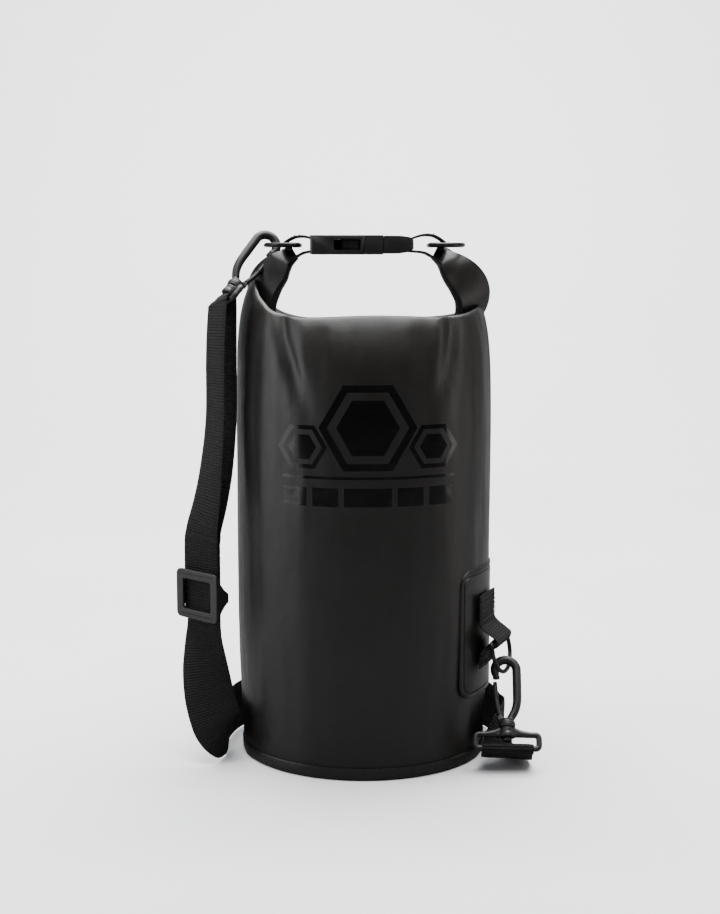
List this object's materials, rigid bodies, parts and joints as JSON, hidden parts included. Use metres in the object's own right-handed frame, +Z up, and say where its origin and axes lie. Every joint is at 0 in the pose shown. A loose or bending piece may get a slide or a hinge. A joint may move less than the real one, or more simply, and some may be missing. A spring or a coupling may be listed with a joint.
{
  "type": "roll-top dry bag",
  "caption": "Round roll-top dry bag of coated fabric with a buckled top loop, three rings and a clip-on webbing shoulder strap.",
  "frame": {"origin": "middle of the base, on the surface the bag stands on", "axes": "+Z up, +X to the right across the buckle, +Y to the back of the bag"},
  "size_m": [0.2661, 0.1984, 0.3857],
  "materials": {
    "coated_fabric": "satin coated tarpaulin",
    "webbing": "ribbed polyester webbing",
    "moulded_plastic": "fine matte acetal",
    "ring_steel": "black coated steel wire",
    "stiffener": "polyethylene strip"
  },
  "bodies": {
    "bag": {"bag_tube": "coated_fabric", "base_disc": "coated_fabric", "base_rim": "coated_fabric", "back_seam_tape": "coated_fabric", "rolled_top": "coated_fabric", "stiffener_strip": "stiffener", "side_patch": "coated_fabric", "patch_tab": "webbing", "left_end_webbing": "webbing", "buckle_female": "moulded_plastic", "strap_upper_loop": "webbing", "strap_lower_run": "webbing", "upper_swivel": "moulded_plastic", "lower_swivel": "moulded_plastic"},
    "right_tip": {"right_ear": "coated_fabric", "right_end_webbing": "webbing", "buckle_male": "moulded_plastic"},
    "front_prong": {"prong_front": "moulded_plastic"},
    "back_prong": {"prong_back": "moulded_plastic"},
    "left_ring": {"left_ring": "ring_steel"},
    "right_ring": {"right_ring": "ring_steel"},
    "side_ring": {"side_ring": "ring_steel"},
    "upper_hook": {"upper_hook": "moulded_plastic"},
    "upper_gate": {"upper_gate": "moulded_plastic"},
    "lower_hook": {"lower_hook": "moulded_plastic"},
    "lower_gate": {"lower_gate": "moulded_plastic"},
    "slider": {"slider": "moulded_plastic"}
  },
  "joints": [
    {"name": "buckle_release", "type": "slide", "parent": "bag", "child": "right_tip", "axis": [1, 0, 0], "range_m": [0, 0.03]},
    {"name": "front_prong_squeeze", "type": "hinge", "parent": "right_tip", "child": "front_prong", "pos_m": [0.014, -0.0142, 0.3755], "axis": [0, 0, 1], "range_deg": [-7, 0], "stiffness_Nm_per_rad": 0.3},
    {"name": "back_prong_squeeze", "type": "hinge", "parent": "right_tip", "child": "back_prong", "pos_m": [0.014, 0.0142, 0.3755], "axis": [0, 0, 1], "range_deg": [0, 7], "stiffness_Nm_per_rad": 0.3},
    {"name": "left_ring_swing", "type": "hinge", "parent": "bag", "child": "left_ring", "pos_m": [-0.047, 0, 0.3755], "axis": [0, 1, 0], "range_deg": [-5, 2]},
    {"name": "right_ring_swing", "type": "hinge", "parent": "right_tip", "child": "right_ring", "pos_m": [0.0485, 0, 0.3755], "axis": [0, -1, 0], "range_deg": [-8, 70]},
    {"name": "side_ring_swing", "type": "hinge", "parent": "bag", "child": "side_ring", "pos_m": [0.09896, -0.03799, 0.0905], "axis": [0.3584, 0.9336, 0], "range_deg": [-3, 3]},
    {"name": "upper_hook_swivel", "type": "hinge", "parent": "bag", "child": "upper_hook", "pos_m": [-0.10165, -0.02604, 0.33335], "axis": [0.5199, 0.4489, 0.7268], "range_deg": [-6, 6]},
    {"name": "upper_gate_press", "type": "hinge", "parent": "upper_hook", "child": "upper_gate", "pos_m": [-0.08543, -0.01526, 0.34811], "axis": [0.2611, -0.8936, 0.3651], "range_deg": [0, 20], "stiffness_Nm_per_rad": 0.1},
    {"name": "lower_hook_swivel", "type": "hinge", "parent": "bag", "child": "lower_hook", "pos_m": [0.10297, -0.07121, 0.01779], "axis": [0.017, 0.54, 0.8415], "range_deg": [-6, 6]},
    {"name": "lower_gate_press", "type": "hinge", "parent": "lower_hook", "child": "lower_gate", "pos_m": [0.09878, -0.05825, 0.03808], "axis": [-0.0109, 0.8417, -0.5399], "range_deg": [0, 20], "stiffness_Nm_per_rad": 0.1},
    {"name": "slider_travel", "type": "slide", "parent": "bag", "child": "slider", "axis": [0, 0, 1], "range_m": [-0.01, 0.01]}
  ],
  "couplings": [
    {"joint": "back_prong_squeeze", "follows": "front_prong_squeeze", "ratio": -1}
  ]
}
